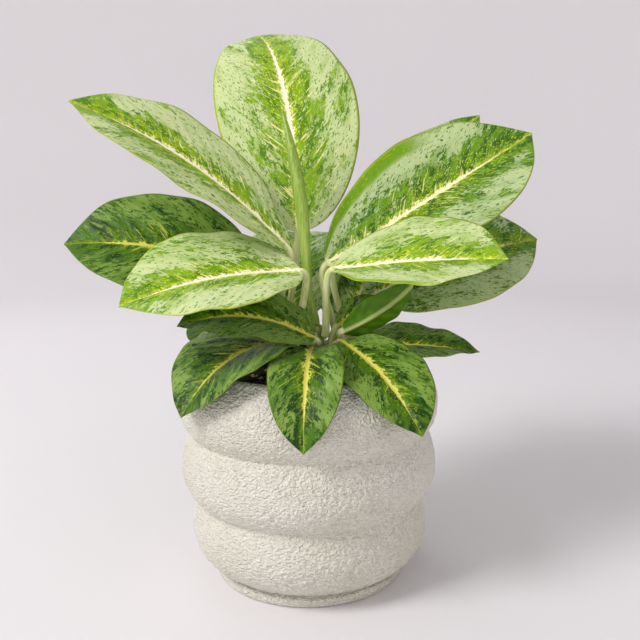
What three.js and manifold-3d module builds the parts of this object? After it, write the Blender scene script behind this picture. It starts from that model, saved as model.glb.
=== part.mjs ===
// Potted chinese evergreen: a bulged ceramic pot holding a black nursery pot, soil,
// three canes and their leaves. Millimetres, +Z up. The origin is the middle of the
// pot's flat underside, and the plant's front faces -Y.
import * as THREE from 'three';
import { ParametricGeometry } from 'three/addons/geometries/ParametricGeometry.js';
import { mergeVertices } from 'three/addons/utils/BufferGeometryUtils.js';
import Module from 'manifold-3d';

const wasm = await Module();
wasm.setup();

// ---- driving dimensions ----
const GAP = 0.3;                 // clearance between pieces that touch
const POT = {
  footRadius: 62,
  footHeight: 8,
  footNeck: 63,                // radius where the foot meets the lowest bulge
  lowBulge: 78, lowBulgeZ: 33,
  lowGroove: 74, lowGrooveZ: 53,
  midBulge: 84, midBulgeZ: 73,
  highGroove: 78, highGrooveZ: 98,
  topBulge: 85, topBulgeZ: 116,
  rimRadius: 73, rimZ: 142,
  wall: 8,
  floor: 10,
  lip: 3,                        // rounding of the rim
  lipDrop: 0.8,                  // how far that rounding falls at the rim's edges
  footTaper: 1,                  // how far the foot widens above the flat underside
  heel: 2,                       // rounding inside, where the wall meets the floor
  segments: 44,
};
const NURSERY = {
  baseRadius: 50,
  topRadius: 61,
  height: 129,
  wall: 1.2,
  lipOut: 2.6,
  lipHeight: 7,
  holes: 6, holeRadius: 4, holeCircle: 36,
  segments: 36,
};
// The soil mounds up inwards: shares of its radius, each with its share of the mound.
const SOIL = { top: 127, mound: 4, clear: 0.8, slope: [[0.7, 0.5], [0.35, 0.9]], segments: 32 };
const CANE = {
  buried: 55,
  clear: 1,                      // room around a cane in the soil
  ringEvery: 12, ringHeight: 2.4, ringOut: 0.5,
  bare: 8,                       // length without rings at each end
  taper: 3, topIn: 2,            // height and depth of the tapered top
  segments: 14,
};
const CANES = {
  cane_front: { at: [5, 2], top: 165, radius: 6 },
  cane_left: { at: [-20, 20], top: 155, radius: 6 },
  cane_right: { at: [30, 15], top: 155, radius: 6 },
};
const STALK = 2.3;               // radius of a leaf stalk
const SHEATH = 0.5;              // gap between a stalk's foot and its cane
const BLADE = 0.5;               // half thickness of a blade
const RIB_END = 0.4;             // half thickness of the midrib at the tip
const RIB_REACH = 5;             // how far the midrib's thickening reaches sideways
const BLUNT = 0.55;              // roundness of a blade's base
const POINT = 0.95;              // sharpness of its tip
const DRAW_IN = 5;               // how late along the blade its tip draws in
const PULL = 0.35;               // share of a stalk's span over which it keeps its direction
const STALK_LEAN = 0.25;         // how far a stalk leans out where it leaves its cane
const RIB_FADE = 8;              // the rib shows above only over 1 / this of the blade
const LEAF_SIDES = 8;

// Each leaf grows on a cane, leaving it at a height (0 soil to 1 top) towards foot.
// Its stalk carries the blade reach mm out from the cane towards to, and climb mm up.
// The blade has a size [length, width], a heading, a slope at its base (rise) and tip
// (tip) and a lean about its midrib, and is widest at that share of its length. cup is
// each half's upward fold, curl its bend towards the edge and roll an extra curl near
// the base, left half first. Degrees in steps of five, sizes in steps of 5 mm.
const PLAIN = { lean: 0, widest: 0.45, cup: [15, 15], curl: [-10, -10], roll: [0, 0] };
const LEAVES = {
  leaf_back_upright: { cane: 'cane_left', height: 0.8, foot: 60, to: 45, reach: 20, climb: 75,
    size: [210, 100], heading: 105, rise: 90, tip: 10, lean: -10, cup: [5, 5] },
  leaf_upper_left: { cane: 'cane_left', height: 0.8, foot: 240, to: -65, reach: 20, climb: 65,
    size: [165, 80], heading: 185, rise: 50, tip: 20, lean: -30, widest: 0.55 },
  leaf_left_rear: { cane: 'cane_left', height: 0.5, foot: 180, to: 180, reach: 15, climb: 55,
    size: [130, 85], heading: 180, rise: 25, tip: -5, lean: -45, widest: 0.5 },
  leaf_left_front: { cane: 'cane_front', height: 0.8, foot: 200, to: 245, reach: 20, climb: 45,
    size: [115, 90], heading: 200, rise: 5, tip: -20, lean: -25, widest: 0.5 },
  leaf_upper_right: { cane: 'cane_right', height: 0.8, foot: 200, to: 210, reach: 20, climb: 55,
    size: [170, 95], heading: 15, rise: 30, tip: 30, lean: 40, widest: 0.55, roll: [30, 0] },
  leaf_right_rear_high: { cane: 'cane_right', height: 0.8, foot: 110, to: 125, reach: 20, climb: 50,
    size: [190, 60], heading: 40, rise: 40, tip: 30, lean: 25 },
  leaf_right_front: { cane: 'cane_front', height: 0.8, foot: -50, to: -40, reach: 15, climb: 45,
    size: [110, 90], heading: -20, rise: 10, tip: 0, lean: 25, widest: 0.5, roll: [0, 25] },
  leaf_right_rear_low: { cane: 'cane_right', height: 0.8, foot: 20, to: 0, reach: 10, climb: 30,
    size: [140, 85], heading: 20, rise: 25, tip: 5, lean: 45, widest: 0.5 },
  leaf_low_right: { cane: 'cane_right', height: 0.5, foot: -20, to: -80, reach: 15, climb: 10,
    size: [80, 50], heading: -5, rise: 5, tip: -10, lean: 15, widest: 0.4 },
  leaf_front_left: { cane: 'cane_front', height: 0.4, foot: 210, to: 225, reach: 25, climb: 15,
    size: [90, 75], heading: 215, rise: 10, tip: -60, lean: -5 },
  leaf_front_center: { cane: 'cane_front', height: 0.3, foot: -95, to: -95, reach: 25, climb: 15,
    size: [95, 45], heading: -95, rise: 20, tip: -85, widest: 0.5 },
  leaf_front_right: { cane: 'cane_front', height: 0.4, foot: -50, to: -50, reach: 25, climb: 15,
    size: [95, 55], heading: -60, rise: -5, tip: -45, lean: 10 },
  leaf_low_left: { cane: 'cane_front', height: 0.6, foot: 270, to: 270, reach: 25, climb: 10,
    size: [90, 50], heading: 185, rise: 35, tip: -20, lean: -30 },
  leaf_young: { cane: 'cane_front', height: 0.6, foot: -15, to: -20, reach: 15, climb: 15,
    size: [35, 20], heading: 5, rise: 35, tip: 30, lean: 60 },
  leaf_inner_right: { cane: 'cane_right', height: 0.6, foot: 250, to: 255, reach: 30, climb: 20,
    size: [55, 25], heading: 5, rise: 20, tip: 45, lean: -70 },
  leaf_rear: { cane: 'cane_left', height: 0.6, foot: 130, to: 75, reach: 30, climb: 15,
    size: [120, 80], heading: 85, rise: 60, tip: 0 },
  leaf_rear_right: { cane: 'cane_right', height: 0.5, foot: 80, to: 95, reach: 25, climb: 15,
    size: [110, 75], heading: 60, rise: 55, tip: 0 },
  leaf_rear_low: { cane: 'cane_left', height: 0.4, foot: 155, to: 150, reach: 15, climb: 20,
    size: [65, 50], heading: 150, rise: 20, tip: -50 },
};
const ROLLED = {
  at: [0, 0, 190], heading: 120, rise: 90, tip: 60, size: [120, 10],
  neck: 3,                       // radius where the roll meets its stalk
  fullest: 0.9,                  // how much of its swelling the roll shows before the tip
  stalkShare: 0.25,              // share of the rings that the stalk takes
  rings: 16,
};

const COLOURS = {
  ceramic: { color: 0xe4e1d6, roughness: 0.62, metalness: 0 },
  plastic: { color: 0x17181a, roughness: 0.5, metalness: 0 },
  soil: { color: 0x2b1f17, roughness: 0.95, metalness: 0 },
  cane: { color: 0xb6c08a, roughness: 0.6, metalness: 0 },
  leaf: { color: 0x6f9c3a, roughness: 0.4, metalness: 0 },
};

const rad = THREE.MathUtils.degToRad;

// ---- helpers ----
function piece(name, geometry, finish) {
  const mesh = new THREE.Mesh(geometry, new THREE.MeshStandardMaterial(COLOURS[finish]));
  mesh.name = name;
  return mesh;
}

// A lathe about +Z from [radius, z] points that close on themselves or end on the axis.
function turned(points, segments) {
  const profile = points.map(([r, z]) => new THREE.Vector2(r, z));
  return new THREE.LatheGeometry(profile, segments).rotateX(Math.PI / 2);
}

function toSolid(geometry) {
  const bare = geometry.clone();
  bare.deleteAttribute('normal');
  bare.deleteAttribute('uv');
  const merged = mergeVertices(bare, 1e-3);
  const mesh = new wasm.Mesh({
    numProp: 3,
    vertProperties: new Float32Array(merged.attributes.position.array),
    triVerts: new Uint32Array(merged.index.array),
  });
  mesh.merge();
  return new wasm.Manifold(mesh);
}

function toGeometry(solid) {
  const mesh = solid.getMesh();
  const geometry = new THREE.BufferGeometry();
  geometry.setAttribute('position', new THREE.BufferAttribute(mesh.vertProperties, 3));
  geometry.setIndex(new THREE.BufferAttribute(mesh.triVerts, 1));
  return geometry;
}

// Points on a circular arc that starts upright at the bulge and ends at the groove.
function bulgeArc(bulge, bulgeZ, end, endZ, steps) {
  const drop = bulge - end;
  const rise = endZ - bulgeZ;
  const r = (rise * rise + drop * drop) / (2 * drop);
  const sweep = Math.asin(Math.abs(rise) / r);
  const points = [];
  for (let i = 0; i <= steps; i += 1) {
    const a = sweep * i / steps;
    points.push([bulge - r + r * Math.cos(a), bulgeZ + Math.sign(rise) * r * Math.sin(a)]);
  }
  return points;
}

// ---- pot ----
function outerWall(steps) {
  const p = POT;
  const low = bulgeArc(p.lowBulge, p.lowBulgeZ, p.footNeck, p.footHeight, steps + 2).reverse();
  const lowUp = bulgeArc(p.lowBulge, p.lowBulgeZ, p.lowGroove, p.lowGrooveZ, steps - 1);
  const mid = bulgeArc(p.midBulge, p.midBulgeZ, p.lowGroove, p.lowGrooveZ, steps).reverse();
  const midUp = bulgeArc(p.midBulge, p.midBulgeZ, p.highGroove, p.highGrooveZ, steps);
  const top = bulgeArc(p.topBulge, p.topBulgeZ, p.highGroove, p.highGrooveZ, steps).reverse();
  const topUp = bulgeArc(p.topBulge, p.topBulgeZ, p.rimRadius, p.rimZ - p.lip, steps);
  return [low, lowUp.slice(1), mid.slice(1), midUp.slice(1), top.slice(1), topUp.slice(1)].flat();
}

function ceramicPot() {
  const steps = 4;
  const wall = outerWall(steps);
  const inside = wall.filter(([, z]) => z > POT.floor + POT.wall).map(([r, z]) => [r - POT.wall, z]);
  const rimIn = POT.rimRadius - POT.wall;
  const profile = [
    [0, 0],
    [POT.footRadius, 0],
    [POT.footRadius + POT.footTaper, POT.footHeight - POT.footTaper],
    ...wall,
    [POT.rimRadius - POT.lip / 3, POT.rimZ - POT.lipDrop],
    [POT.rimRadius - POT.lip, POT.rimZ],
    [rimIn + POT.lip, POT.rimZ],
    [rimIn + POT.lip / 3, POT.rimZ - POT.lipDrop],
    ...inside.reverse(),
    [POT.footRadius - POT.wall + POT.heel, POT.floor],
    [0, POT.floor],
  ];
  return piece('ceramic_pot', turned(profile, POT.segments), 'ceramic');
}

function nurseryPot() {
  const n = NURSERY;
  const z0 = POT.floor + GAP;
  const top = z0 + n.height;
  const profile = [
    [0, z0],
    [n.baseRadius, z0],
    [n.topRadius, top - n.lipHeight],
    [n.topRadius + n.lipOut, top - n.lipHeight],
    [n.topRadius + n.lipOut, top],
    [n.topRadius + n.lipOut - n.wall, top],
    [n.topRadius - n.wall, top - n.lipHeight],
    [n.baseRadius - n.wall, z0 + n.wall],
    [0, z0 + n.wall],
  ];
  let solid = toSolid(turned(profile, n.segments));
  const depth = 5 * n.wall;
  for (let i = 0; i < n.holes; i += 1) {
    const a = 2 * Math.PI * i / n.holes;
    const drill = new THREE.CylinderGeometry(n.holeRadius, n.holeRadius, depth, 12).rotateX(Math.PI / 2);
    drill.translate(n.holeCircle * Math.cos(a), n.holeCircle * Math.sin(a), z0);
    solid = solid.subtract(toSolid(drill));
  }
  return piece('nursery_pot', toGeometry(solid), 'plastic');
}

// ---- soil and canes ----
function soil() {
  const n = NURSERY;
  const z0 = POT.floor + GAP + n.wall + GAP;
  const slope = (n.topRadius - n.baseRadius) / (n.height - n.lipHeight);
  const inner = (z) => n.baseRadius - n.wall - SOIL.clear + slope * (z - POT.floor);
  const edge = inner(SOIL.top);
  const profile = [
    [0, z0],
    [inner(z0), z0],
    [edge, SOIL.top],
    ...SOIL.slope.map(([out, up]) => [edge * out, SOIL.top + SOIL.mound * up]),
    [0, SOIL.top + SOIL.mound],
  ];
  let solid = toSolid(turned(profile, SOIL.segments));
  for (const cane of Object.values(CANES)) {
    const deep = CANE.buried + 2 * SOIL.mound + GAP;
    const wide = cane.radius + CANE.clear;
    const hole = new THREE.CylinderGeometry(wide, wide, deep, CANE.segments);
    hole.rotateX(Math.PI / 2);
    hole.translate(cane.at[0], cane.at[1], SOIL.top - CANE.buried - GAP + deep / 2);
    solid = solid.subtract(toSolid(hole));
  }
  return piece('soil', toGeometry(solid), 'soil');
}

// A cane has a raised scar ring wherever an old leaf has dropped off.
function cane(name, { at, top, radius }) {
  const bottom = SOIL.top - CANE.buried;
  const profile = [[0, bottom], [radius, bottom]];
  for (let z = SOIL.top + CANE.bare; z < top - CANE.bare; z += CANE.ringEvery) {
    profile.push([radius, z], [radius + CANE.ringOut, z + CANE.ringHeight / 2]);
    profile.push([radius, z + CANE.ringHeight]);
  }
  profile.push([radius, top - CANE.taper], [radius - CANE.topIn, top], [0, top]);
  const mesh = piece(name, turned(profile, CANE.segments), 'cane');
  mesh.position.set(at[0], at[1], 0);
  return mesh;
}

// ---- leaves ----
function stalkFoot(leaf) {
  const { at, top, radius } = CANES[leaf.cane];
  const a = rad(leaf.foot);
  const reach = radius + CANE.ringOut + STALK + SHEATH;
  const z = SOIL.top + (top - SOIL.top) * leaf.height;
  return new THREE.Vector3(at[0] + reach * Math.cos(a), at[1] + reach * Math.sin(a), z);
}

function bladeStart(leaf) {
  const { at } = CANES[leaf.cane];
  const a = rad(leaf.to);
  const z = stalkFoot(leaf).z + leaf.climb;
  return [at[0] + leaf.reach * Math.cos(a), at[1] + leaf.reach * Math.sin(a), z];
}

function direction(leaf, s) {
  const az = rad(leaf.heading);
  const el = rad(leaf.rise + (leaf.tip - leaf.rise) * s);
  return new THREE.Vector3(Math.cos(el) * Math.cos(az), Math.cos(el) * Math.sin(az), Math.sin(el));
}

// Point of the midrib at s, from 0 at the blade's base to 1 at its tip.
function midrib(leaf, s) {
  const steps = 16;
  const point = new THREE.Vector3(...leaf.at);
  for (let i = 0; i < steps; i += 1) {
    point.addScaledVector(direction(leaf, s * (i + 0.5) / steps), leaf.size[0] * s / steps);
  }
  return point;
}

// The blade's own sideways and upward directions at s.
function bladeAxes(leaf, s) {
  const az = rad(leaf.heading);
  const flat = new THREE.Vector3(-Math.sin(az), Math.cos(az), 0);
  const above = new THREE.Vector3().crossVectors(direction(leaf, s), flat);
  const lean = rad(leaf.lean);
  const side = flat.clone().multiplyScalar(Math.cos(lean)).addScaledVector(above, Math.sin(lean));
  const up = above.clone().multiplyScalar(Math.cos(lean)).addScaledVector(flat, -Math.sin(lean));
  return { side, up };
}

function halfWidth(leaf, s) {
  const widestAtHalf = Math.log(0.5) / Math.log(leaf.widest);
  const swell = Math.max(0, Math.sin(Math.PI * s ** widestAtHalf));
  return leaf.size[1] / 2 * swell ** (BLUNT + (POINT - BLUNT) * s ** DRAW_IN);
}

// Sideways and upward offset of a point x (-1 right edge, 1 left edge) of the blade.
function across(leaf, s, x) {
  const half = x > 0 ? 0 : 1;
  const bend = leaf.curl[half] + leaf.roll[half] * (1 - s) ** 2;
  const steps = 6;
  let out = 0;
  let up = 0;
  for (let i = 0; i < steps; i += 1) {
    const a = rad(leaf.cup[half] + bend * Math.abs(x) * (i + 0.5) / steps);
    out += Math.cos(a) / steps;
    up += Math.sin(a) / steps;
  }
  return { out: out * x, up: up * Math.abs(x) };
}

// A stalk sets off towards out and arrives at the blade in the blade's own direction.
function stalkCurve(leaf, start, out, arrive) {
  const end = new THREE.Vector3(...leaf.at);
  const pull = PULL * start.distanceTo(end);
  const first = start.clone().addScaledVector(out, pull);
  const second = end.clone().addScaledVector(direction(leaf, 0), -pull * arrive);
  return new THREE.CubicBezierCurve3(start, first, second, end);
}

// One closed skin: round along the stalk, then flattening into the blade.
function leafMesh(name, given) {
  const leaf = { ...PLAIN, ...given };
  leaf.at = bladeStart(leaf);
  const a = rad(leaf.foot);
  const out = new THREE.Vector3(STALK_LEAN * Math.cos(a), STALK_LEAN * Math.sin(a), 1).normalize();
  const stalk = stalkCurve(leaf, stalkFoot(leaf), out, 0.5);
  const stalkRings = 5;
  const bladeRings = 12;
  const rings = stalkRings + bladeRings;
  const split = stalkRings / rings;
  const skin = (u, v, target) => {
    const turn = 2 * Math.PI * u;
    const x = Math.cos(turn);
    const y = Math.sin(turn);
    if (v < split) {
      const t = v / split;
      const { side } = bladeAxes(leaf, 0);
      const along = stalk.getTangent(t);
      const across0 = side.clone().addScaledVector(along, -side.dot(along)).normalize();
      const up0 = new THREE.Vector3().crossVectors(along, across0);
      const r = STALK * Math.min(1, t * stalkRings);
      target.copy(stalk.getPoint(t)).addScaledVector(across0, r * x).addScaledVector(up0, r * y);
      return;
    }
    const s = (v - split) / (1 - split);
    const { side, up } = bladeAxes(leaf, s);
    const neck = STALK * (1 - s) ** 4;
    const half = s < 1 ? Math.max(neck, halfWidth(leaf, s)) : 0;
    const shape = across(leaf, s, x);
    const nearRib = Math.max(0, 1 - Math.abs(x) * half / RIB_REACH);
    const ribBelow = (STALK - RIB_END) * (1 - s) + RIB_END - BLADE;
    const ribAbove = Math.max(0, 1 - RIB_FADE * s) * (STALK - BLADE);
    const thick = s < 1 ? BLADE + nearRib * (y > 0 ? ribAbove : ribBelow) : 0;
    target.copy(midrib(leaf, s));
    target.addScaledVector(side, half * shape.out);
    target.addScaledVector(up, half * shape.up + thick * y);
  };
  return piece(name, new ParametricGeometry(skin, LEAF_SIDES, rings), 'leaf');
}

// The new leaf is still rolled up: a slim spindle on its own stalk.
function rolledLeaf() {
  const leaf = { ...PLAIN, ...ROLLED };
  const { at, top } = CANES.cane_front;
  const start = new THREE.Vector3(at[0], at[1], top + GAP);
  const stalk = stalkCurve(leaf, start, new THREE.Vector3(0, 0, 1), 1);
  const split = leaf.stalkShare;
  const skin = (u, v, target) => {
    const s = Math.max(0, (v - split) / (1 - split));
    const { side, up } = bladeAxes(leaf, s);
    const swell = Math.sin(Math.PI * leaf.fullest * s) ** 2;
    const round = Math.sqrt(Math.max(0, 1 - s ** 3));
    const thick = leaf.neck + (leaf.size[1] / 2 - leaf.neck) * swell;
    const r = thick * round * Math.min(1, v * leaf.rings);
    target.copy(v < split ? stalk.getPoint(v / split) : midrib(leaf, s));
    target.addScaledVector(side, r * Math.cos(2 * Math.PI * u));
    target.addScaledVector(up, r * Math.sin(2 * Math.PI * u));
  };
  return piece('leaf_new_rolled', new ParametricGeometry(skin, LEAF_SIDES, leaf.rings), 'leaf');
}

// ---- whole plant ----
const plant = new THREE.Group();
plant.add(ceramicPot(), nurseryPot(), soil());
for (const [name, value] of Object.entries(CANES)) {
  plant.add(cane(name, value));
}
for (const [name, value] of Object.entries(LEAVES)) {
  plant.add(leafMesh(name, value));
}
plant.add(rolledLeaf());

export default plant;
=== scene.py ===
import math

import bpy
import numpy as np
from mathutils import Matrix, Vector, noise


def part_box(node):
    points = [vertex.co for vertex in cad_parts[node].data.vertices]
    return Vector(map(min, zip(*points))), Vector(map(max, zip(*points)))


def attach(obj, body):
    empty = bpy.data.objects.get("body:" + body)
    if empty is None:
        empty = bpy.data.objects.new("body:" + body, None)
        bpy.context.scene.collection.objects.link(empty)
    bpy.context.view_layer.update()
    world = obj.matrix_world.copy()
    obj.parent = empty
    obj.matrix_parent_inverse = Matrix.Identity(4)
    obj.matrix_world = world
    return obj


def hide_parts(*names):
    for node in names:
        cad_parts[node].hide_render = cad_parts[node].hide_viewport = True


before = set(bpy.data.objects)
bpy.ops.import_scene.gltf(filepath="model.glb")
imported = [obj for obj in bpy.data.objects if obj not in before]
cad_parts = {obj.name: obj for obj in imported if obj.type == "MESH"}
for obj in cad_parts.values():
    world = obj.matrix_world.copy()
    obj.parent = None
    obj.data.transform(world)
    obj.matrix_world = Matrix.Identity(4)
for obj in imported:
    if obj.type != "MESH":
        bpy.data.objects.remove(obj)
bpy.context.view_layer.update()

MM = 0.001
ROOT = "root"

# ---- growth values, the same as in the solid model, in millimetres and degrees ----
SOIL_TOP = 127
STALK = 2.3
SHEATH = 0.5
RING_OUT = 0.5
RING_EVERY = 12
RING_HEIGHT = 2.4
RIB_END = 0.4
RIB_REACH = 5
RIB_FADE = 8
BLUNT = 0.55
POINT = 0.95
PULL = 0.35
STALK_LEAN = 0.25
GAP = 0.3

# ---- finer than in the solid model ----
DRAW_IN = 9                            # later than the solid's, so that a blade stays rounder
BLADE = 0.32                           # half a blade's thickness
TIP = 0.05                             # half a blade's width at its very tip
VEIN_SLANT = 0.75                      # how far a side vein runs forward for each step outwards
VEIN_BOW = 0.009                       # and how much more it does so further out
WAVE_LENGTH = 9.5                      # from one side vein's swelling to the next
WAVE_HEIGHT = 0.30
FURROW_DEPTH = 0.75                    # of the furrow along the top of the midrib
FURROW_WIDTH = 1.5

CANES = {
    "cane_front": {"at": (5, 2), "top": 165, "radius": 6},
    "cane_left": {"at": (-20, 20), "top": 155, "radius": 6},
    "cane_right": {"at": (30, 15), "top": 155, "radius": 6},
}
LEAF_DEFAULTS = {
    "lean": 0, "widest": 0.45,
    "cup": (15, 15), "curl": (-10, -10), "roll": (0, 0), "tone": "bright",
}
# A leaf's tone also sets how much painted shade its colours carry: middle and deep leaves are painted
# darker where they sit in shade.
LEAVES = {
    "leaf_back_upright": dict(
        cane="cane_left", height=0.8, foot=60, to=45, reach=20, climb=75,
        size=(210, 100), heading=105, rise=90, tip=10, lean=-10, cup=(5, 5)),
    "leaf_upper_left": dict(
        cane="cane_left", height=0.8, foot=240, to=-65, reach=20, climb=65,
        size=(165, 80), heading=185, rise=50, tip=20, lean=-30, widest=0.55),
    "leaf_left_rear": dict(
        cane="cane_left", height=0.5, foot=180, to=180, reach=15, climb=55,
        size=(130, 85), heading=180, rise=25, tip=-5, lean=-45, widest=0.5, tone="deep_and_shaded"),
    "leaf_left_front": dict(
        cane="cane_front", height=0.8, foot=200, to=245, reach=20, climb=45,
        size=(115, 90), heading=200, rise=5, tip=-20, lean=-25, widest=0.5),
    "leaf_upper_right": dict(
        cane="cane_right", height=0.8, foot=200, to=210, reach=20, climb=55,
        size=(170, 95), heading=15, rise=30, tip=30, lean=40, widest=0.55, roll=(30, 0), tone="middle"),
    "leaf_right_rear_high": dict(
        cane="cane_right", height=0.8, foot=110, to=125, reach=20, climb=50,
        size=(190, 60), heading=40, rise=40, tip=30, lean=25, tone="middle"),
    "leaf_right_front": dict(
        cane="cane_front", height=0.8, foot=-50, to=-40, reach=15, climb=45,
        size=(110, 90), heading=-20, rise=10, tip=0, lean=25, widest=0.5, roll=(0, 25)),
    "leaf_right_rear_low": dict(
        cane="cane_right", height=0.8, foot=20, to=0, reach=10, climb=30,
        size=(140, 85), heading=20, rise=25, tip=5, lean=45, widest=0.5, tone="middle"),
    "leaf_low_right": dict(
        cane="cane_right", height=0.5, foot=-20, to=-80, reach=15, climb=10,
        size=(80, 50), heading=-5, rise=5, tip=-10, lean=15, widest=0.4, tone="deep_and_shaded"),
    "leaf_front_left": dict(
        cane="cane_front", height=0.4, foot=210, to=225, reach=25, climb=15,
        size=(90, 75), heading=215, rise=10, tip=-60, lean=-5, tone="deep_and_shaded"),
    "leaf_front_center": dict(
        cane="cane_front", height=0.3, foot=-95, to=-95, reach=25, climb=15,
        size=(95, 45), heading=-95, rise=20, tip=-85, widest=0.5, tone="deep_and_shaded"),
    "leaf_front_right": dict(
        cane="cane_front", height=0.4, foot=-50, to=-50, reach=25, climb=15,
        size=(95, 55), heading=-60, rise=-5, tip=-45, lean=10, tone="deep_and_shaded"),
    "leaf_low_left": dict(
        cane="cane_front", height=0.6, foot=270, to=270, reach=25, climb=10,
        size=(90, 50), heading=185, rise=35, tip=-20, lean=-30, tone="deep_and_shaded"),
    "leaf_young": dict(
        cane="cane_front", height=0.6, foot=-15, to=-20, reach=15, climb=15,
        size=(35, 20), heading=5, rise=35, tip=30, lean=60, tone="deep_and_shaded"),
    "leaf_inner_right": dict(
        cane="cane_right", height=0.6, foot=250, to=255, reach=30, climb=20,
        size=(55, 25), heading=5, rise=20, tip=45, lean=-70, tone="deep_and_shaded"),
    "leaf_rear": dict(
        cane="cane_left", height=0.6, foot=130, to=75, reach=30, climb=15,
        size=(120, 80), heading=85, rise=60, tip=0, tone="middle"),
    "leaf_rear_right": dict(
        cane="cane_right", height=0.5, foot=80, to=95, reach=25, climb=15,
        size=(110, 75), heading=60, rise=55, tip=0, tone="middle"),
    "leaf_rear_low": dict(
        cane="cane_left", height=0.4, foot=155, to=150, reach=15, climb=20,
        size=(65, 50), heading=150, rise=20, tip=-50, tone="deep_and_shaded"),
}
ROLLED = dict(
    LEAF_DEFAULTS, at=(0, 0, 190), heading=120, rise=90, tip=60, size=(120, 10), neck=3, fullest=0.9)


def srgb(red, green, blue):
    """A linear colour from 8-bit display values."""
    return tuple((value / 255) ** 2.2 for value in (red, green, blue)) + (1,)


# ---- meshes ----
def add_object(name, vertices, faces, material, smooth=True):
    mesh = bpy.data.meshes.new(name)
    mesh.from_pydata([tuple(v) for v in vertices], [], [tuple(f) for f in faces])
    mesh.materials.append(material)
    mesh.polygons.foreach_set("use_smooth", [smooth] * len(mesh.polygons))
    mesh.update()
    piece = bpy.data.objects.new(name, mesh)
    bpy.context.collection.objects.link(piece)
    return piece


def set_attribute(piece, name, values):
    layer = piece.data.attributes.new(name, "FLOAT", "POINT")
    layer.data.foreach_set("value", np.asarray(values, float).ravel())


def declare(piece, node):
    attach(piece, ROOT)
    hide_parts(node)


def loft_faces(rings, around):
    faces = []
    for i in range(rings - 1):
        for j in range(around):
            a = i * around + j
            b = i * around + (j + 1) % around
            faces.append((a, b, b + around, a + around))
    return faces


def turned(profile, around):
    """Vertices and faces of a lathe about +Z; points on the axis close it with a fan."""
    vertices = []
    rows = []
    for radius, z in profile:
        if radius == 0:
            rows.append([len(vertices)] * around)
            vertices.append((0, 0, z * MM))
            continue
        rows.append([len(vertices) + j for j in range(around)])
        for j in range(around):
            a = 2 * math.pi * j / around
            vertices.append((radius * math.cos(a) * MM, radius * math.sin(a) * MM, z * MM))
    faces = []
    for low, high in zip(rows, rows[1:]):
        for j in range(around):
            k = (j + 1) % around
            corners = (low[j], low[k], high[k], high[j])
            faces.append(tuple(dict.fromkeys(corners)))
    return vertices, faces


# ---- material helpers ----
def new_material(name):
    material = bpy.data.materials.new(name)
    material.use_nodes = True
    tree = material.node_tree
    return material, tree, tree.nodes["Principled BSDF"]


def node(tree, kind, inputs=None, **settings):
    made = tree.nodes.new("ShaderNode" + kind)
    for key, value in settings.items():
        setattr(made, key, value)
    for key, value in (inputs or {}).items():
        socket = made.inputs[key]
        if isinstance(value, bpy.types.NodeSocket):
            tree.links.new(value, socket)
        else:
            socket.default_value = value
    return made


def maths(tree, operation, a, b=0.0, c=0.0):
    return node(tree, "Math", {0: a, 1: b, 2: c}, operation=operation).outputs[0]


def ramp(tree, value, low, high):
    """0 below low and 1 above high, smoothly."""
    inputs = {"Value": value, "From Min": low, "From Max": high}
    return node(tree, "MapRange", inputs, interpolation_type="SMOOTHSTEP").outputs[0]


def mix(tree, factor, a, b):
    made = tree.nodes.new("ShaderNodeMix")
    made.data_type = "RGBA"
    for index, value in ((0, factor), (6, a), (7, b)):
        if isinstance(value, bpy.types.NodeSocket):
            tree.links.new(value, made.inputs[index])
        else:
            made.inputs[index].default_value = value
    return made.outputs[2]


def attribute(tree, name):
    return node(tree, "Attribute", attribute_name=name).outputs["Fac"]


def noise_value(tree, vector, scale, detail=2.0, rough=0.5):
    inputs = {"Vector": vector, "Scale": scale, "Detail": detail, "Roughness": rough}
    return node(tree, "TexNoise", inputs).outputs["Fac"]


def object_vector(tree, stretch=(1, 1, 1)):
    place = node(tree, "TexCoord").outputs["Object"]
    return node(tree, "Mapping", {"Vector": place, "Scale": stretch}).outputs[0]


def new_group(name, inputs, outputs):
    group = bpy.data.node_groups.new(name, "ShaderNodeTree")
    for label, kind, default in inputs:
        socket = group.interface.new_socket(label, in_out="INPUT", socket_type=kind)
        socket.default_value = default
    for label, kind in outputs:
        group.interface.new_socket(label, in_out="OUTPUT", socket_type=kind)
    start = group.nodes.new("NodeGroupInput")
    end = group.nodes.new("NodeGroupOutput")
    return group, start.outputs, end.inputs


def place_group(tree, group, values):
    made = tree.nodes.new("ShaderNodeGroup")
    made.node_tree = group
    for label, value in values.items():
        if isinstance(value, bpy.types.NodeSocket):
            tree.links.new(value, made.inputs[label])
        else:
            made.inputs[label].default_value = value
    return made.outputs


# ---- leaf variegation, shared by the three leaf tones ----
# Noise scales of the pattern, per millimetre of leaf.
BANDS = 0.045
BLOTCHES = 0.2
SPECKS = 0.5
HOLES = 0.85
DEPTHS = 0.13
HAZE = 0.07
FLECKS = 0.6
FRAYING = 0.33
STREAKS = 0.42
GRAIN = 1.6
SIDES_APART = 40.0                     # keeps the two halves of a leaf from mirroring each other


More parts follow.
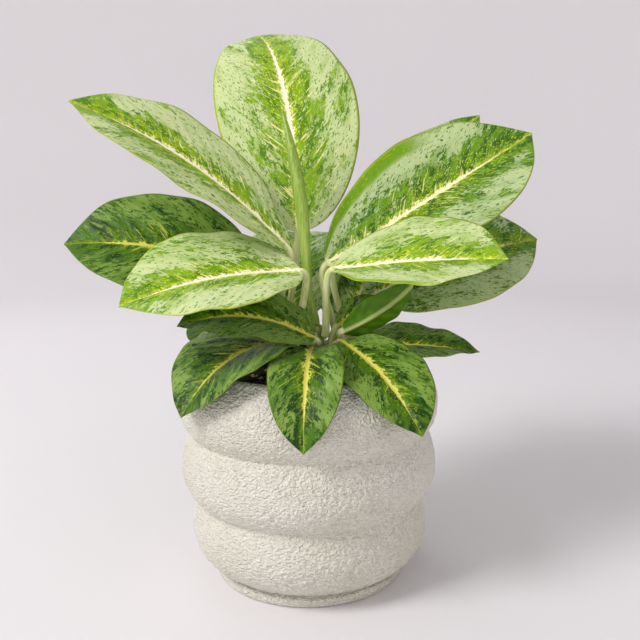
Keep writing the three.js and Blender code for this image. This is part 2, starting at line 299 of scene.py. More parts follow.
def variegation_group():
    colour = "NodeSocketColor"
    value = "NodeSocketFloat"
    group, given, out = new_group(
        "variegation",
        [("Pale", colour, (1, 1, 1, 1)), ("Green", colour, (1, 1, 1, 1)),
         ("Deep", colour, (1, 1, 1, 1)), ("Rib", colour, (1, 1, 1, 1)),
         ("Fringe", colour, (1, 1, 1, 1)), ("Under", colour, (1, 1, 1, 1)), ("Greenness", value, 0.0)],
        [("Color", colour), ("Height", value)])
    tree = group
    along = attribute(tree, "along_mm")
    side = attribute(tree, "across_mm")
    s = attribute(tree, "along")
    x = attribute(tree, "across")
    seed = attribute(tree, "seed")
    away = maths(tree, "ABSOLUTE", side)
    x_away = maths(tree, "ABSOLUTE", x)

    # Along a side vein this stays the same: veins leave at about 50 degrees and curve on.
    bow = maths(tree, "MULTIPLY", maths(tree, "MULTIPLY", away, away), VEIN_BOW)
    straight = maths(tree, "SUBTRACT", along, maths(tree, "MULTIPLY", away, VEIN_SLANT))
    vein = maths(tree, "SUBTRACT", straight, bow)
    sign = maths(tree, "MULTIPLY", maths(tree, "SIGN", side), SIDES_APART)
    run = maths(tree, "ADD", maths(tree, "MULTIPLY", away, 1.15), sign)
    place = node(tree, "CombineXYZ", {"X": vein, "Y": run, "Z": seed}).outputs[0]

    # Where green gathers: beside the midrib, at the tip and in broad bands.
    band = noise_value(tree, place, BANDS, 1.0)
    centre = maths(tree, "SUBTRACT", 1.0, ramp(tree, x_away, 0.05, 0.66))
    later = maths(tree, "MULTIPLY_ADD", ramp(tree, s, 0.05, 0.6), 0.5, 0.5)
    centre = maths(tree, "MULTIPLY", centre, later)
    tip = ramp(tree, s, 0.8, 0.98)
    bias = maths(tree, "MULTIPLY_ADD", centre, 0.27, maths(tree, "MULTIPLY", tip, 0.2))
    bias = maths(tree, "ADD", bias, maths(tree, "MULTIPLY_ADD", band, 0.5, -0.30))
    bias = maths(tree, "ADD", bias, given["Greenness"])

    blotch = noise_value(tree, place, BLOTCHES, 6.0, 0.66)
    patch = ramp(tree, maths(tree, "ADD", blotch, bias), 0.555, 0.57)
    speck = noise_value(tree, place, SPECKS, 2.0, 0.55)
    near = maths(tree, "MULTIPLY_ADD", bias, 0.35, speck)
    dots = ramp(tree, near, 0.575, 0.605)
    holes = ramp(tree, noise_value(tree, place, HOLES, 2.0, 0.6), 0.37, 0.40)
    patch = maths(tree, "MULTIPLY", patch, holes)
    depth = noise_value(tree, place, DEPTHS, 3.0)

    green = mix(tree, ramp(tree, depth, 0.44, 0.60), given["Green"], given["Deep"])
    soft = noise_value(tree, place, HAZE, 2.0)
    haze = maths(tree, "MULTIPLY", ramp(tree, maths(tree, "ADD", soft, bias), 0.35, 0.75), 0.55)
    pale = mix(tree, haze, given["Pale"], given["Green"])
    skin = mix(tree, maths(tree, "MULTIPLY", dots, 0.85), pale, given["Deep"])
    skin = mix(tree, patch, skin, green)
    lit = ramp(tree, noise_value(tree, place, FLECKS, 2.0, 0.6), 0.58, 0.62)
    lit = maths(tree, "MULTIPLY", lit, ramp(tree, centre, 0.35, 0.8))
    skin = mix(tree, maths(tree, "MULTIPLY", lit, 0.7), skin, given["Fringe"])

    # Feathered cream midrib that fades out before the tip, with streaks up the veins.
    frayed = noise_value(tree, place, FRAYING, 5.0, 0.7)
    left = maths(tree, "SUBTRACT", 1.0, ramp(tree, s, 0.55, 0.9))
    width = maths(tree, "MULTIPLY_ADD", left, 1.15, 0.15)
    spread = maths(tree, "MULTIPLY", maths(tree, "SUBTRACT", frayed, 0.47), 13.0)
    reach = maths(tree, "MULTIPLY", maths(tree, "MAXIMUM", spread, 0.0), left)
    inside = maths(tree, "SUBTRACT", maths(tree, "ADD", width, reach), away)
    rib = ramp(tree, inside, -0.15, 0.45)
    glow = ramp(tree, inside, -2.6, 0.3)
    fringe = maths(tree, "MULTIPLY", glow, ramp(tree, frayed, 0.42, 0.6))
    slow = maths(tree, "MULTIPLY", run, 0.14)
    thin = node(tree, "CombineXYZ", {"X": vein, "Y": slow, "Z": seed}).outputs[0]
    line = noise_value(tree, thin, STREAKS, 2.0, 0.6)
    line = maths(tree, "SUBTRACT", line, maths(tree, "MULTIPLY", x_away, 0.17))
    streak = ramp(tree, line, 0.575, 0.62)
    streak = maths(tree, "MULTIPLY", streak, maths(tree, "MULTIPLY", left, 0.85))
    cream = mix(tree, 0.5, given["Fringe"], given["Rib"])
    skin = mix(tree, streak, skin, cream)
    skin = mix(tree, maths(tree, "MULTIPLY", fringe, 0.8), skin, given["Fringe"])
    skin = mix(tree, rib, skin, given["Rib"])
    plain = mix(tree, maths(tree, "MULTIPLY", dots, 0.3), given["Under"], given["Fringe"])
    skin = mix(tree, attribute(tree, "plain"), skin, plain)
    edge = maths(tree, "MULTIPLY", ramp(tree, x_away, 0.95, 0.985), 0.8)
    skin = mix(tree, edge, skin, mix(tree, 0.45, given["Green"], given["Fringe"]))
    tree.links.new(skin, out["Color"])

    ridge = maths(tree, "SINE", maths(tree, "MULTIPLY", vein, 0.75))
    fine = noise_value(tree, place, GRAIN, 2.0)
    height = maths(tree, "MULTIPLY_ADD", fine, 0.5, maths(tree, "MULTIPLY", ridge, 0.18))
    tree.links.new(height, out["Height"])
    return group


LEAF_ROUGHNESS = 0.42
# Leaf tones: each is partly the leaf's own colouring, with more green patches (Greenness) in the darker
# tones, and partly painted shade: the middle and deep colours, undersides too, are darker copies of the
# bright ones, for leaves that sit lower, further inside or further from the light.
TONES = {
    "bright": {
        "Pale": srgb(206, 220, 156), "Green": srgb(132, 172, 10), "Deep": srgb(84, 132, 8),
        "Rib": srgb(255, 250, 214), "Fringe": srgb(236, 236, 70), "Greenness": 0.005,
        "Under": srgb(126, 168, 16)},
    "middle": {
        "Pale": srgb(182, 200, 142), "Green": srgb(104, 146, 10), "Deep": srgb(52, 98, 6),
        "Rib": srgb(250, 244, 186), "Fringe": srgb(212, 218, 62), "Greenness": 0.02,
        "Under": srgb(108, 152, 12)},
    "deep_and_shaded": {
        "Pale": srgb(126, 156, 68), "Green": srgb(72, 112, 0), "Deep": srgb(26, 62, 0),
        "Rib": srgb(220, 214, 96), "Fringe": srgb(140, 168, 20), "Greenness": 0.05,
        "Under": srgb(78, 120, 4)},
}


def leaf_material(tone, group):
    under = TONES[tone]["Under"]
    material, tree, shader = new_material("leaf_" + tone)
    top = place_group(tree, group, TONES[tone])
    upper = ramp(tree, attribute(tree, "upper"), 0.4, 0.6)
    stalk = ramp(tree, attribute(tree, "stalk"), 0.2, 1.0)
    vector = object_vector(tree)
    mottle = noise_value(tree, vector, 160.0, 3.0)
    lighter = tuple(min(1, 1.35 * part) for part in under[:3]) + (1,)
    below = mix(tree, ramp(tree, mottle, 0.35, 0.7), under, lighter)
    rib = maths(tree, "ABSOLUTE", attribute(tree, "across_mm"))
    on_rib = maths(tree, "SUBTRACT", 0.8, ramp(tree, rib, 0.8, 2.8))
    below = mix(tree, on_rib, below, srgb(196, 208, 128))
    skin = mix(tree, upper, below, top["Color"])
    streaks = noise_value(tree, object_vector(tree, (1, 1, 0.15)), 420.0, 3.0)
    cream = mix(tree, ramp(tree, streaks, 0.35, 0.7), srgb(232, 234, 176), srgb(198, 212, 122))
    skin = mix(tree, stalk, skin, cream)
    tree.links.new(skin, shader.inputs["Base Color"])
    rough = maths(tree, "MULTIPLY_ADD", mottle, 0.14, LEAF_ROUGHNESS)
    tree.links.new(rough, shader.inputs["Roughness"])
    shader.inputs["Specular IOR Level"].default_value = 0.3
    bump = node(tree, "Bump", {"Height": top["Height"], "Strength": 0.28, "Distance": 0.0006})
    tree.links.new(bump.outputs[0], shader.inputs["Normal"])
    return material


# ---- leaf shape ----
def direction(leaf, s):
    az = math.radians(leaf["heading"])
    el = np.radians(leaf["rise"] + (leaf["tip"] - leaf["rise"]) * s)
    return np.stack([np.cos(el) * math.cos(az), np.cos(el) * math.sin(az), np.sin(el)], -1)


def midrib(leaf, s):
    steps = 16
    point = np.array(leaf["at"], float) + np.zeros((len(s), 3))
    for i in range(steps):
        point += direction(leaf, s * (i + 0.5) / steps) * (leaf["size"][0] * s / steps)[:, None]
    return point


def blade_axes(leaf, s):
    az = math.radians(leaf["heading"])
    flat = np.array([-math.sin(az), math.cos(az), 0])
    above = np.cross(direction(leaf, s), flat)
    lean = math.radians(leaf["lean"])
    side = flat * math.cos(lean) + above * math.sin(lean)
    up = above * math.cos(lean) - flat * math.sin(lean)
    return side, up


def half_width(leaf, s):
    power = math.log(0.5) / math.log(leaf["widest"])
    swell = np.maximum(0, np.sin(np.pi * s ** power))
    return leaf["size"][1] / 2 * swell ** (BLUNT + (POINT - BLUNT) * s ** DRAW_IN)


def across(leaf, s, x):
    """Sideways and upward offsets of the cross-section, for s down and x across."""
    left = x > 0
    cup = np.where(left, leaf["cup"][0], leaf["cup"][1])[None, :]
    curl = np.where(left, leaf["curl"][0], leaf["curl"][1])[None, :]
    roll = np.where(left, leaf["roll"][0], leaf["roll"][1])[None, :]
    bend = curl + roll * (1 - s[:, None]) ** 2
    steps = 6
    out = 0
    up = 0
    for i in range(steps):
        a = np.radians(cup + bend * np.abs(x) * (i + 0.5) / steps)
        out = out + np.cos(a) / steps
        up = up + np.sin(a) / steps
    return out * x, up * np.abs(x)


def stalk_foot(leaf):
    cane = CANES[leaf["cane"]]
    a = math.radians(leaf["foot"])
    reach = cane["radius"] + RING_OUT + STALK + SHEATH
    z = SOIL_TOP + (cane["top"] - SOIL_TOP) * leaf["height"]
    return np.array([cane["at"][0] + reach * math.cos(a), cane["at"][1] + reach * math.sin(a), z])


def blade_start(leaf):
    cane = CANES[leaf["cane"]]
    a = math.radians(leaf["to"])
    z = stalk_foot(leaf)[2] + leaf["climb"]
    return cane["at"][0] + leaf["reach"] * math.cos(a), cane["at"][1] + leaf["reach"] * math.sin(a), z


def bezier(points, t):
    p0, p1, p2, p3 = points
    t = t[:, None]
    place = (1 - t) ** 3 * p0 + 3 * (1 - t) ** 2 * t * p1 + 3 * (1 - t) * t * t * p2 + t ** 3 * p3
    slope = 3 * (1 - t) ** 2 * (p1 - p0) + 6 * (1 - t) * t * (p2 - p1) + 3 * t * t * (p3 - p2)
    return place, slope / np.linalg.norm(slope, axis=1)[:, None]


def stalk_path(leaf, start, out, arrive):
    end = np.array(leaf["at"], float)
    pull = PULL * np.linalg.norm(end - start)
    first = start + np.array(out) * pull
    second = end - direction(leaf, np.zeros(1))[0] * pull * arrive
    return start, first, second, end


def section_places(count):
    """Positions across the blade from -1 to 1, closest together at the midrib."""
    t = np.linspace(-1, 1, count)
    return 0.55 * np.sin(np.pi * t / 2) + 0.45 * t ** 3


def stalk_rings(leaf, count, ring_x, ring_y, swollen):
    a = math.radians(leaf["foot"])
    out = Vector((STALK_LEAN * math.cos(a), STALK_LEAN * math.sin(a), 1)).normalized()
    t = np.linspace(0, 1, count, endpoint=False)
    place, slope = bezier(stalk_path(leaf, stalk_foot(leaf), out, 0.5), t)
    side = blade_axes(leaf, np.zeros(1))[0] + 0 * place
    side = side - slope * np.sum(side * slope, 1)[:, None]
    side = side / np.linalg.norm(side, axis=1)[:, None]
    up = np.cross(slope, side)
    radius = STALK * (1 + swollen * np.exp(-t / 0.12))
    radius[0] *= 0.35
    rings = place[:, None] + side[:, None] * (radius[:, None] * ring_x)[..., None]
    return rings + up[:, None] * (radius[:, None] * ring_y)[..., None]


def build_leaf(name, values, seed, materials):
    """A blade with its midrib, on a round stalk, as one closed skin of rings."""
    leaf = dict(LEAF_DEFAULTS, **values)
    leaf["at"] = blade_start(leaf)
    long_mm = leaf["size"][0]
    places = section_places(57)
    x = np.concatenate([places, places[-2:0:-1]])
    top = np.concatenate([np.ones(len(places)), -np.ones(len(places) - 2)])
    y = top * np.sqrt(np.maximum(0, 1 - x * x))
    blade_count = 104
    t = np.linspace(0, 1, blade_count)
    s = 0.5 * t + 0.5 * (0.5 - 0.5 * np.cos(np.pi * t))
    side, up = blade_axes(leaf, s)
    half = np.maximum(STALK * (1 - s) ** 4, half_width(leaf, s))
    half[-1] = TIP
    out, lift = across(leaf, s, x)
    away = np.abs(x)[None, :] * half[:, None]
    near_rib = np.maximum(0, 1 - away / RIB_REACH) ** 1.5
    rib_below = ((STALK - RIB_END) * (1 - s) + RIB_END)[:, None]
    rib_above = (np.maximum(0, 1 - RIB_FADE * s) * STALK)[:, None]
    thick = BLADE + near_rib * np.where(y > 0, rib_above, rib_below)
    fade = np.clip(s * 12, 0, 1)[:, None] * np.clip((1 - s) * 8, 0, 1)[:, None]
    along_mm = s[:, None] * long_mm
    vein = along_mm - VEIN_SLANT * away - VEIN_BOW * away ** 2
    inner = np.clip(away / 6, 0, 1) * np.clip((1 - np.abs(x)[None, :]) * 4, 0, 1)
    waves = WAVE_HEIGHT * np.sin(vein * 2 * np.pi / WAVE_LENGTH + seed) * inner * fade
    furrow = -FURROW_DEPTH * np.exp(-(away / FURROW_WIDTH) ** 2) * fade * (y >= 0)
    ripple = np.sin(2 * np.pi * s * (2.2 + seed % 3 * 0.4) + seed)[:, None]
    ripple2 = np.sin(2 * np.pi * s * 4.7 + 2 * seed)[:, None] * np.where(x > 0, 1, -1)[None, :]
    edge = (0.9 * ripple + 0.5 * ripple2) * np.abs(x)[None, :] ** 3 * fade
    rise = half[:, None] * lift + thick * y[None, :] + waves + furrow + edge
    rings = midrib(leaf, s)[:, None] + side[:, None] * (half[:, None] * out)[..., None]
    rings = rings + up[:, None] * rise[..., None]
    stalk_count = 22
    stalk = stalk_rings(leaf, stalk_count, x, y, 0.35)
    points = np.concatenate([stalk, rings]) * MM
    around = len(x)
    total = stalk_count + blade_count
    faces = loft_faces(total, around)
    faces.append(tuple(range(around))[::-1])
    faces.append(tuple((total - 1) * around + j for j in range(around)))
    piece = add_object(name + "_visual", points.reshape(-1, 3), faces, materials[leaf["tone"]])

    def spread(stalk_value, blade_values):
        first = np.full((stalk_count, around), stalk_value, float)
        return np.concatenate([first, blade_values + np.zeros((blade_count, around))])

    set_attribute(piece, "along", spread(0, s[:, None]))
    set_attribute(piece, "across", spread(0, x[None, :]))
    set_attribute(piece, "along_mm", spread(0, along_mm))
    set_attribute(piece, "across_mm", spread(0, half[:, None] * x[None, :]))
    set_attribute(piece, "upper", spread(0, (y >= 0)[None, :] * 1.0))
    set_attribute(piece, "stalk", spread(1, np.clip(1 - s * 30, 0, 1)[:, None]))
    rolled = np.where(x > 0, leaf["roll"][0], leaf["roll"][1]) > 0
    plain_from = 0.74 if leaf["roll"][0] else 0.86
    margin = np.clip((np.abs(x) - plain_from) / 0.05, 0, 1)
    early = np.clip((0.66 - s) / 0.12, 0, 1)[:, None]
    set_attribute(piece, "plain", spread(0, early * (margin * rolled)[None, :]))
    set_attribute(piece, "seed", np.full(total * around, 13.7 * seed))
    declare(piece, name)


def build_rolled_leaf(material):
    """The new leaf: a slim roll, its outer edge wrapped over in one long seam."""
    leaf = ROLLED
    cane = CANES["cane_front"]
    start = np.array([cane["at"][0], cane["at"][1], cane["top"] + GAP])
    path = stalk_path(leaf, start, (0, 0, 1), 1)
    stalk_count = 16
    blade_count = 90
    around = 48
    place, _ = bezier(path, np.linspace(0, 1, stalk_count, endpoint=False))
    s = np.concatenate([np.zeros(stalk_count), np.linspace(0, 1, blade_count)])
    centre = np.concatenate([place, midrib(leaf, s[stalk_count:])])
    side, up = blade_axes(leaf, s)
    whole = leaf["size"][1] / 2
    swell = leaf["neck"] + (whole - leaf["neck"]) * np.sin(np.pi * leaf["fullest"] * s) ** 2
    radius = swell * np.sqrt(np.maximum(0.0004, 1 - s ** 3))
    turn = np.linspace(0, 2 * np.pi, around, endpoint=False)
    seam = (4.4 + 1.5 * s)[:, None]
    lap = np.mod(turn[None, :] - seam, 2 * np.pi) / (2 * np.pi)
    wrap = 1 - 0.2 * lap * np.clip(s * 6, 0, 1)[:, None]
    r = radius[:, None] * wrap
    points = centre[:, None] + side[:, None] * (r * np.cos(turn))[..., None]
    points = (points + up[:, None] * (r * np.sin(turn))[..., None]) * MM
    total = stalk_count + blade_count
    faces = loft_faces(total, around)
    faces.append(tuple(range(around))[::-1])
    faces.append(tuple((total - 1) * around + j for j in range(around)))
    piece = add_object("leaf_new_rolled_visual", points.reshape(-1, 3), faces, material)
    set_attribute(piece, "along", np.repeat(s, around))
    declare(piece, "leaf_new_rolled")


def rolled_material():
    material, tree, shader = new_material("leaf_rolled")
    s = attribute(tree, "along")
    streaks = noise_value(tree, object_vector(tree, (1, 1, 0.08)), 700.0, 3.0)
    low = mix(tree, ramp(tree, streaks, 0.35, 0.7), srgb(164, 188, 88), srgb(134, 164, 52))
    high = mix(tree, ramp(tree, streaks, 0.3, 0.7), srgb(152, 178, 74), srgb(116, 148, 36))
    skin = mix(tree, ramp(tree, s, 0.1, 0.8), low, high)
    tree.links.new(skin, shader.inputs["Base Color"])
    shader.inputs["Roughness"].default_value = 0.4
    bump = node(tree, "Bump", {"Height": streaks, "Strength": 0.2, "Distance": 0.0004})
    tree.links.new(bump.outputs[0], shader.inputs["Normal"])
    return material


# ---- pots ----
# Radius and height of each point of the decorative pot. The foot is cut in deeper than the solid's.
FOOT = [(62, 0.3), (63, 1.2), (64, 5.2), (63.2, 6.3), (60.8, 6.9)]
FOOT_UNDER = 61.4
# Each bulge: its widest radius and that height, the hollow below it, the hollow above it.
BULGES = [
    (78, 33, (60.4, 7.8), (74, 53)),
    (84, 73, (74, 53), (78, 98)),
    (85, 116, (78, 98), (73, 139)),
]
LIP = [(72.2, 140.8), (70.5, 141.8), (69, 142)]
POT_INSIDE = [
    (68, 141.9), (66, 140.6), (65.3, 138), (76.5, 118), (76, 110), (70, 98), (75.5, 76),
    (74, 66), (66, 53), (69, 38), (66, 24), (56, 12), (0, 10),
]
SKIN_STEP = 1.16
ARC_STEPS = 12


def hammered(x, y, z):
    """Height of the hammered skin, in millimetres: small lumps wider than they are tall."""
    place = Vector((x, y, z * 1.45))
    lump = noise.noise(place / 2.5)
    wander = noise.noise(place / 1.5 + Vector((31, 7, 12)))
    broad = noise.noise(place / 9 + Vector((5, 17, 3)))
    return 0.75 * lump + 0.35 * wander + 0.25 * broad


def resample(profile, step):
    """Points every step millimetres along a polyline."""
    points = np.array(profile, float)
    gaps = np.hypot(*np.diff(points, axis=0).T)
    distance = np.concatenate([[0], np.cumsum(gaps)])
    count = max(2, int(distance[-1] / step))
    along = np.linspace(0, distance[-1], count + 1)
    return np.stack([np.interp(along, distance, points[:, k]) for k in (0, 1)], -1)


def bulge_arc(bulge, bulge_z, end, end_z, steps):
    """Points on an arc from a bulge's widest ring to the hollow beside it."""
    drop = bulge - end
    rise = end_z - bulge_z
    r = (rise * rise + drop * drop) / (2 * drop)
    sweep = math.asin(abs(rise) / r)
    points = []
    for i in range(steps + 1):
        a = sweep * i / steps
        points.append((bulge - r + r * math.cos(a), bulge_z + math.copysign(r * math.sin(a), rise)))
    return points


def ceramic_profile():
    """The pot's outer line from the foot to the rim."""
    line = list(FOOT)
    for bulge, z, low, high in BULGES:
        line += bulge_arc(bulge, z, low[0], low[1], ARC_STEPS)[::-1]
        line += bulge_arc(bulge, z, high[0], high[1], ARC_STEPS)[1:]
    return line + LIP


def build_ceramic_pot(material):
    around = 600
    outer = resample(ceramic_profile(), SKIN_STEP)
    slope = np.gradient(outer, axis=0)
    slope /= np.hypot(slope[:, 0], slope[:, 1])[:, None]
    vertices = []
    for k, (radius, z) in enumerate(outer):
        calm = min(1, k / 3) * min(1, (len(outer) - 1 - k) / 5)
        for j in range(around):
            a = 2 * math.pi * j / around
            c, d = math.cos(a), math.sin(a)
            h = hammered(radius * c, radius * d, z) * calm
            r = radius + h * slope[k, 1]
            vertices.append((r * c * MM, r * d * MM, (z - h * slope[k, 0]) * MM))
    faces = loft_faces(len(outer), around)
    base = (len(outer) - 1) * around
    previous = [base + j for j in range(around)]
    for radius, z in POT_INSIDE:
        if radius == 0:
            centre = len(vertices)
            vertices.append((0, 0, z * MM))
            faces += [(previous[j], previous[(j + 1) % around], centre) for j in range(around)]
            continue
        row = [len(vertices) + j for j in range(around)]
        for j in range(around):
            a = 2 * math.pi * j / around
            vertices.append((radius * math.cos(a) * MM, radius * math.sin(a) * MM, z * MM))
        for j in range(around):
            k = (j + 1) % around
            faces.append((previous[j], previous[k], row[k], row[j]))
        previous = row
    under = len(vertices)
    vertices.append((0, 0, 0))
    rim = [len(vertices) + j for j in range(around)]
    for j in range(around):
        a = 2 * math.pi * j / around
        vertices.append((FOOT_UNDER * math.cos(a) * MM, FOOT_UNDER * math.sin(a) * MM, 0))
    faces += [(j, rim[j], rim[(j + 1) % around], (j + 1) % around) for j in range(around)]
    faces += [(rim[j], under, rim[(j + 1) % around]) for j in range(around)]
    piece = add_object("ceramic_pot_visual", vertices, faces, material)
    declare(piece, "ceramic_pot")


def ceramic_material():
    material, tree, shader = new_material("hammered_ceramic")
    vector = object_vector(tree, (1, 1, 1.25))
    cloud = noise_value(tree, vector, 14.0, 3.0)
    grain = noise_value(tree, vector, 900.0, 3.0)
    skin = mix(tree, ramp(tree, cloud, 0.35, 0.7), srgb(231, 228, 215), srgb(223, 219, 203))
    speckle = ramp(tree, grain, 0.62, 0.75)
    skin = mix(tree, maths(tree, "MULTIPLY", speckle, 0.25), skin, srgb(205, 200, 182))
    tree.links.new(skin, shader.inputs["Base Color"])
    tree.links.new(maths(tree, "MULTIPLY_ADD", cloud, 0.2, 0.42), shader.inputs["Roughness"])
    shader.inputs["Specular IOR Level"].default_value = 0.4
    lumps = noise_value(tree, object_vector(tree, (1, 1, 1.35)), 560.0, 1.0)
    bump = node(tree, "Bump", {"Height": lumps, "Strength": 1.0, "Distance": 0.0027})
    tree.links.new(bump.outputs[0], shader.inputs["Normal"])
    return material


def build_nursery_pot(material):
    low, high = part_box("nursery_pot")
    z0 = low.z / MM
    top = high.z / MM
    lip = high.x / MM
    profile = [
        (0, z0), (49, z0), (50, z0 + 1), (61, top - 7), (61.5, top - 7.2),
        (lip - 0.4, top - 6.6), (lip, top - 6), (lip, top - 0.6), (lip - 0.5, top),
        (lip - 1.1, top - 0.4), (lip - 1.3, top - 2), (59.8, top - 8),
        (48.8, z0 + 1.4), (0, z0 + 1.2),
    ]
    vertices, faces = turned(profile, 144)
    piece = add_object("nursery_pot_visual", vertices, faces, material)
    declare(piece, "nursery_pot")


def plastic_material():
    material, tree, shader = new_material("black_pot_plastic")
    vector = object_vector(tree)
    scuff = noise_value(tree, vector, 90.0, 5.0)
    skin = mix(tree, ramp(tree, scuff, 0.4, 0.75), srgb(24, 25, 27), srgb(44, 45, 46))
    tree.links.new(skin, shader.inputs["Base Color"])
    tree.links.new(maths(tree, "MULTIPLY_ADD", scuff, 0.3, 0.35), shader.inputs["Roughness"])
    grain = noise_value(tree, vector, 700.0)
    bump = node(tree, "Bump", {"Height": grain, "Strength": 0.1, "Distance": 0.0003})
    tree.links.new(bump.outputs[0], shader.inputs["Normal"])
    return material


# ---- soil and canes ----
SOIL_RADIUS = 59
SOIL_BASE_RADIUS = 48
MOUND = 3.6
CRUMBS = 900
CRUMB_REACH = 57


def crumb(vertices, faces, centre, size, seed):
    """One irregular grain: an octahedron with its corners pushed in or out."""
    corners = [(1, 0, 0), (0, 1, 0), (-1, 0, 0), (0, -1, 0), (0, 0, 1), (0, 0, -1)]
    start = len(vertices)
    for k, corner in enumerate(corners):
        push = 0.7 + 0.6 * noise.noise(Vector((seed * 1.7, k * 2.3, 5)))
        vertices.append(tuple((centre[i] + corner[i] * size * push) * MM for i in range(3)))
    for a, b in ((0, 1), (1, 2), (2, 3), (3, 0)):
        faces.append((start + a, start + b, start + 4))
        faces.append((start + b, start + a, start + 5))


def build_soil(material):
    low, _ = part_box("soil")
    rings = 70
    around = 170
    vertices = [(0, 0, (SOIL_TOP + 4.2) * MM)]
    faces = []
    random = np.random.default_rng(7)
    for i in range(1, rings + 1):
        r = SOIL_RADIUS * i / rings
        for j in range(around):
            a = 2 * math.pi * j / around
            p = Vector((r * math.cos(a), r * math.sin(a), 0))
            rough = 1.5 * noise.noise(p / 5) + 0.9 * noise.noise(p / 1.8 + Vector((3, 8, 1)))
            z = SOIL_TOP + MOUND * (1 - (i / rings) ** 2) - 0.4 + rough
            vertices.append((p.x * MM, p.y * MM, z * MM))
    for j in range(around):
        faces.append((0, 1 + j, 1 + (j + 1) % around))
    for i in range(rings - 1):
        for j in range(around):
            a = 1 + i * around + j
            b = 1 + i * around + (j + 1) % around
            faces.append((a, a + around, b + around, b))
    last = 1 + (rings - 1) * around
    bottom = len(vertices)
    for j in range(around):
        a = 2 * math.pi * j / around
        x = SOIL_BASE_RADIUS * math.cos(a) * MM
        y = SOIL_BASE_RADIUS * math.sin(a) * MM
        vertices.append((x, y, low.z))
    for j in range(around):
        k = (j + 1) % around
        faces.append((last + j, bottom + j, bottom + k, last + k))
    faces.append(tuple(bottom + j for j in range(around))[::-1])
    for k in range(CRUMBS):
        r = CRUMB_REACH * math.sqrt(random.random())
        a = 2 * math.pi * random.random()
        z = SOIL_TOP + MOUND * (1 - (r / SOIL_RADIUS) ** 2) + 0.2
        size = 0.6 + 1.3 * random.random() ** 2
        crumb(vertices, faces, (r * math.cos(a), r * math.sin(a), z), size, k)
    piece = add_object("soil_visual", vertices, faces, material, smooth=False)
    declare(piece, "soil")


def soil_material():
    material, tree, shader = new_material("potting_soil")
    vector = object_vector(tree)
    clod = noise_value(tree, vector, 260.0, 4.0)
    fleck = node(tree, "TexVoronoi", {"Vector": vector, "Scale": 190.0}).outputs["Color"]
    pick = node(tree, "SeparateColor", {"Color": fleck}).outputs[0]
    skin = mix(tree, ramp(tree, clod, 0.35, 0.65), srgb(34, 25, 20), srgb(74, 54, 40))
    skin = mix(tree, ramp(tree, pick, 0.95, 0.96), skin, srgb(196, 190, 178))
    tree.links.new(skin, shader.inputs["Base Color"])
    shader.inputs["Roughness"].default_value = 0.95
    bump = node(tree, "Bump", {"Height": clod, "Strength": 0.8, "Distance": 0.001})
    tree.links.new(bump.outputs[0], shader.inputs["Normal"])
    return material


def build_cane(name, values, material):
    low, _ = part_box(name)
    top = values["top"]
    radius = values["radius"]
    profile = [(0, low.z / MM), (radius, low.z / MM)]
    z = SOIL_TOP + 2
    while z < top - 2:
        phase = (z - SOIL_TOP - 8 + RING_HEIGHT / 2) % RING_EVERY
        ring = RING_OUT * math.exp(-((phase - RING_EVERY / 2) / 0.8) ** 2)
        profile.append((radius - 0.15 + ring + 0.12 * math.sin(z * 0.9), z))
        z += 0.5
    profile += [(radius - 0.8, top - 1.2), (radius - 2, top), (0, top)]
    vertices, faces = turned(profile, 56)
    moved = [(v[0] + values["at"][0] * MM, v[1] + values["at"][1] * MM, v[2]) for v in vertices]
    piece = add_object(name + "_visual", moved, faces, material)
    declare(piece, name)


def cane_material():
    material, tree, shader = new_material("green_cane")
    fibre = noise_value(tree, object_vector(tree, (1, 1, 0.2)), 420.0, 4.0)
    rings = noise_value(tree, object_vector(tree, (0.2, 0.2, 1)), 180.0, 2.0)
    skin = mix(tree, ramp(tree, fibre, 0.35, 0.7), srgb(178, 188, 118), srgb(132, 150, 72))
    scars = maths(tree, "MULTIPLY", ramp(tree, rings, 0.55, 0.7), 0.5)
    skin = mix(tree, scars, skin, srgb(150, 128, 84))
    tree.links.new(skin, shader.inputs["Base Color"])
    shader.inputs["Roughness"].default_value = 0.5
    bump = node(tree, "Bump", {"Height": fibre, "Strength": 0.3, "Distance": 0.0005})
    tree.links.new(bump.outputs[0], shader.inputs["Normal"])
    return material


# ---- stage ----
FLOOR_RADIUS = 1400
SWEEP = 900
SWEEP_STEPS = 16
WALL_TOP = 2600


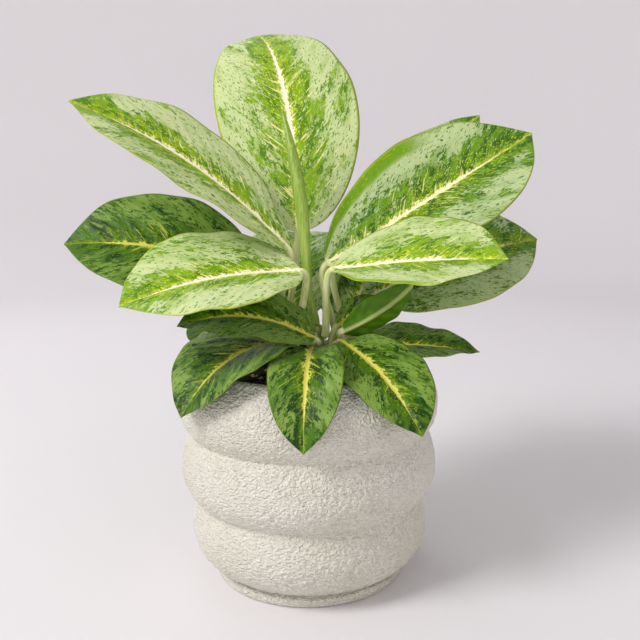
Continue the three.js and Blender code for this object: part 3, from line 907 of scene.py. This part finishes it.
def build_backdrop():
    """A round floor that sweeps up into a wall, so no horizon shows from any side."""
    profile = [(0, 0), (FLOOR_RADIUS / 2, 0), (FLOOR_RADIUS, 0)]
    for i in range(1, SWEEP_STEPS + 1):
        a = math.pi / 2 * i / SWEEP_STEPS
        profile.append((FLOOR_RADIUS + SWEEP * math.sin(a), SWEEP - SWEEP * math.cos(a)))
    profile.append((FLOOR_RADIUS + SWEEP, WALL_TOP))
    vertices, faces = turned(profile, 96)
    material, tree, shader = new_material("pale_backdrop")
    cloud = noise_value(tree, object_vector(tree), 1.4, 2.0)
    skin = mix(tree, cloud, srgb(230, 227, 229), srgb(234, 231, 233))
    tree.links.new(skin, shader.inputs["Base Color"])
    shader.inputs["Roughness"].default_value = 0.9
    shader.inputs["Specular IOR Level"].default_value = 0.1
    backdrop = add_object("backdrop", vertices, faces, material)
    backdrop.visible_shadow = False


def area_light(name, place, target, size, power, colour):
    data = bpy.data.lights.new(name, "AREA")
    data.shape = "DISK"
    data.size = size
    data.energy = power
    data.color = colour
    light = bpy.data.objects.new(name, data)
    bpy.context.collection.objects.link(light)
    light.location = place
    light.rotation_euler = (Vector(target) - Vector(place)).to_track_quat("-Z", "Y").to_euler()


def build_lights():
    world = bpy.data.worlds.new("studio")
    bpy.context.scene.world = world
    world.use_nodes = True
    sky = world.node_tree.nodes["Background"]
    sky.inputs["Color"].default_value = (0.985, 0.98, 1, 1)
    sky.inputs["Strength"].default_value = 0.42
    bpy.context.scene.view_settings.view_transform = "Standard"
    middle = (0, 0, 0.18)
    area_light("key", (-1.7, -1.05, 2.1), middle, 1.1, 47, (1, 0.995, 0.98))
    area_light("fill", (0.9, -1.3, 0.7), middle, 1.2, 1.5, (1, 1, 1))
    area_light("back", (-0.5, 1.1, 1.1), middle, 0.9, 2, (1, 1, 1))


def build_camera():
    place = (0, -0.5155, 0.2596)
    pitch = math.radians(10)
    yaw = math.radians(0.9)
    roll = math.radians(-0.5)
    data = bpy.data.cameras.new("camera")
    data.lens = 45
    data.sensor_width = 36
    camera = bpy.data.objects.new("camera", data)
    bpy.context.collection.objects.link(camera)
    turn = Matrix.Rotation(-yaw, 4, "Z") @ Matrix.Rotation(math.pi / 2 - pitch, 4, "X")
    camera.matrix_world = Matrix.Translation(place) @ turn @ Matrix.Rotation(roll, 4, "Z")
    bpy.context.scene.camera = camera


# ---- whole plant ----
build_camera()
build_lights()
build_backdrop()
build_ceramic_pot(ceramic_material())
build_nursery_pot(plastic_material())
build_soil(soil_material())
cane_finish = cane_material()
for cane_name, cane_values in CANES.items():
    build_cane(cane_name, cane_values, cane_finish)
pattern = variegation_group()
leaf_finishes = {tone: leaf_material(tone, pattern) for tone in TONES}
for count, (leaf_name, leaf_values) in enumerate(LEAVES.items()):
    build_leaf(leaf_name, leaf_values, count + 1, leaf_finishes)
build_rolled_leaf(rolled_material())
